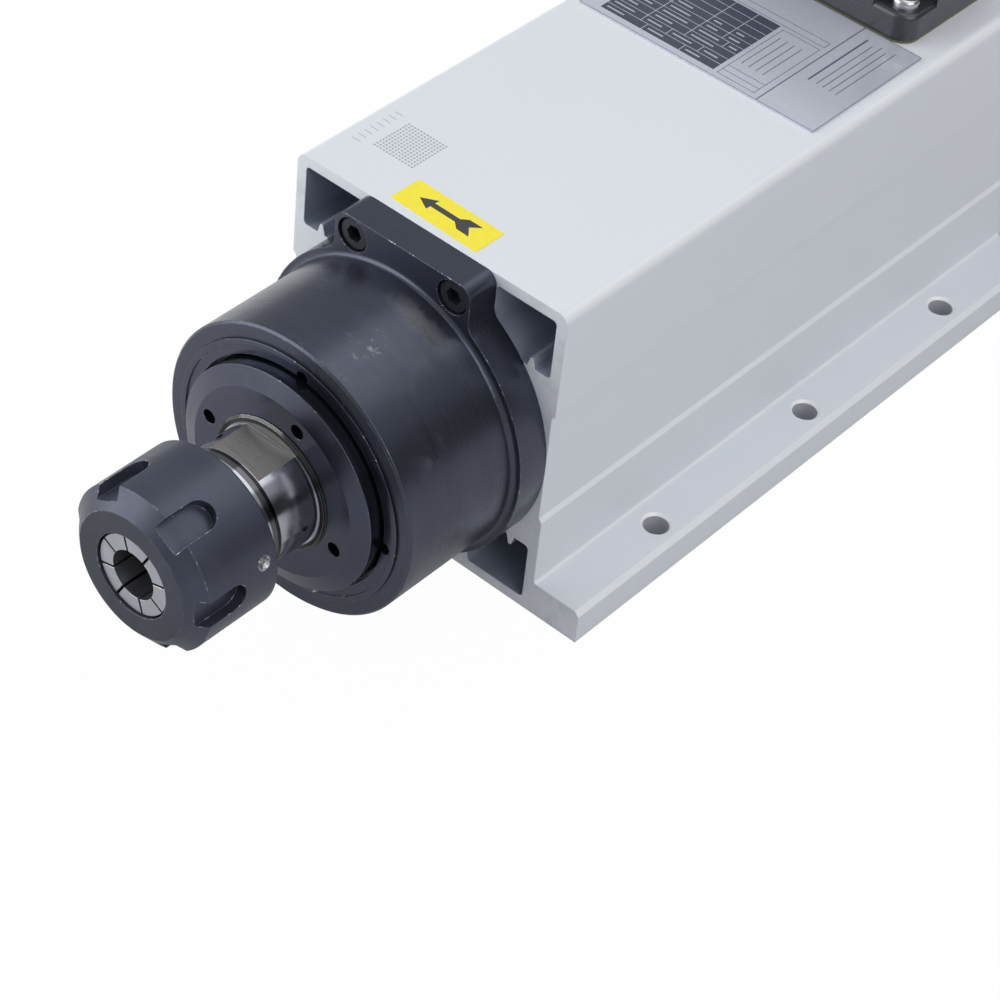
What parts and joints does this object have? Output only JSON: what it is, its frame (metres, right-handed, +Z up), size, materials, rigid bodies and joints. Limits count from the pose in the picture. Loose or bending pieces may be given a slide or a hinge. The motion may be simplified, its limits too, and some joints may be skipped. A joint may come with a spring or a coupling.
{
  "type": "motor spindle",
  "caption": "Square air-cooled motor spindle with a round black nose, a slotted collet nut, feet along both sides, a junction box on top and a fan at the rear.",
  "frame": {"origin": "middle of the foot hole pattern on the underside of the feet", "axes": "+Z up, spindle axis along Y with the nose towards -Y, X across the feet"},
  "size_m": [0.111, 0.3369, 0.1252],
  "materials": {
    "aluminium_body": "bead blasted, clear anodised",
    "black_metal": "black oxide with a dull sheen",
    "nut_black": "smooth black oxide",
    "black_screws": "black oxide",
    "ground_steel": "ground and polished",
    "collet_steel": "fine ground",
    "bearing_steel": "polished",
    "cage_resin": "phenolic",
    "lamination": "stacked steel",
    "end_ring_aluminium": "as cast",
    "winding_copper": "varnished",
    "lead_insulation": "silicone sleeve",
    "cover_black": "fine grain",
    "box_plastic": "moulded, satin",
    "gasket": "soft rubber",
    "gland_rubber": "soft rubber",
    "zinc_screws": "zinc plated",
    "terminal_white": "moulded",
    "terminal_brass": "plain",
    "plate_metal": "printed plate",
    "sticker_yellow": "printed film"
  },
  "bodies": {
    "housing": {"housing_extrusion": "aluminium_body", "front_bearing_housing": "black_metal", "front_housing_screws": "black_screws", "front_retaining_ring": "black_metal", "front_bearing_outer_rings": "bearing_steel", "front_outer_spacer": "bearing_steel", "stator_core": "lamination", "stator_winding": "winding_copper", "rear_end_shield": "black_metal", "rear_shield_screws": "black_screws", "rear_bearing_outer_ring": "bearing_steel", "preload_spring": "bearing_steel", "fan_cover": "cover_black", "fan_cover_screws": "zinc_screws", "box_gasket": "gasket", "junction_box_base": "box_plastic", "junction_box_screws": "zinc_screws", "lid_gasket": "gasket", "junction_box_lid": "box_plastic", "lid_screws": "zinc_screws", "terminal_block": "terminal_white", "terminal_screws": "terminal_brass", "motor_leads": "lead_insulation", "gland_body": "box_plastic", "gland_locknut": "box_plastic", "gland_nut": "box_plastic", "gland_seal": "gland_rubber", "rating_plate": "plate_metal", "rotation_sticker": "sticker_yellow"},
    "spindle": {"spindle_shaft": "ground_steel", "labyrinth_nut": "black_metal", "front_bearing_inner_rings": "bearing_steel", "front_inner_spacer": "bearing_steel", "rotor_core": "lamination", "rotor_end_rings": "end_ring_aluminium", "rear_bearing_inner_ring": "bearing_steel", "fan_impeller": "cover_black", "fan_screw": "zinc_screws"},
    "front_ball_set": {"front_bearing_balls": "bearing_steel", "front_bearing_cages": "cage_resin"},
    "rear_ball_set": {"rear_bearing_balls": "bearing_steel", "rear_bearing_cage": "cage_resin"},
    "collet_body": {"collet": "collet_steel"},
    "nut_body": {"collet_nut": "nut_black"}
  },
  "joints": [
    {"name": "spindle_spin", "type": "hinge", "parent": "housing", "child": "spindle", "pos_m": [0, 0, 0.046], "axis": [0, 1, 0], "continuous": true},
    {"name": "front_cage_spin", "type": "hinge", "parent": "housing", "child": "front_ball_set", "pos_m": [0, 0, 0.046], "axis": [0, 1, 0], "continuous": true},
    {"name": "rear_cage_spin", "type": "hinge", "parent": "housing", "child": "rear_ball_set", "pos_m": [0, 0, 0.046], "axis": [0, 1, 0], "continuous": true},
    {"name": "collet_slide", "type": "slide", "parent": "spindle", "child": "collet_body", "axis": [0, -1, 0], "range_m": [0, 0.012]},
    {"name": "nut_turn", "type": "hinge", "parent": "collet_body", "child": "nut_body", "pos_m": [0, 0, 0.046], "axis": [0, -1, 0], "range_deg": [0, 2880]}
  ],
  "couplings": [
    {"joint": "front_cage_spin", "follows": "spindle_spin", "ratio": 0.42},
    {"joint": "rear_cage_spin", "follows": "spindle_spin", "ratio": 0.41},
    {"joint": "collet_slide", "follows": "nut_turn", "m_per_rad": 0.00023873}
  ]
}
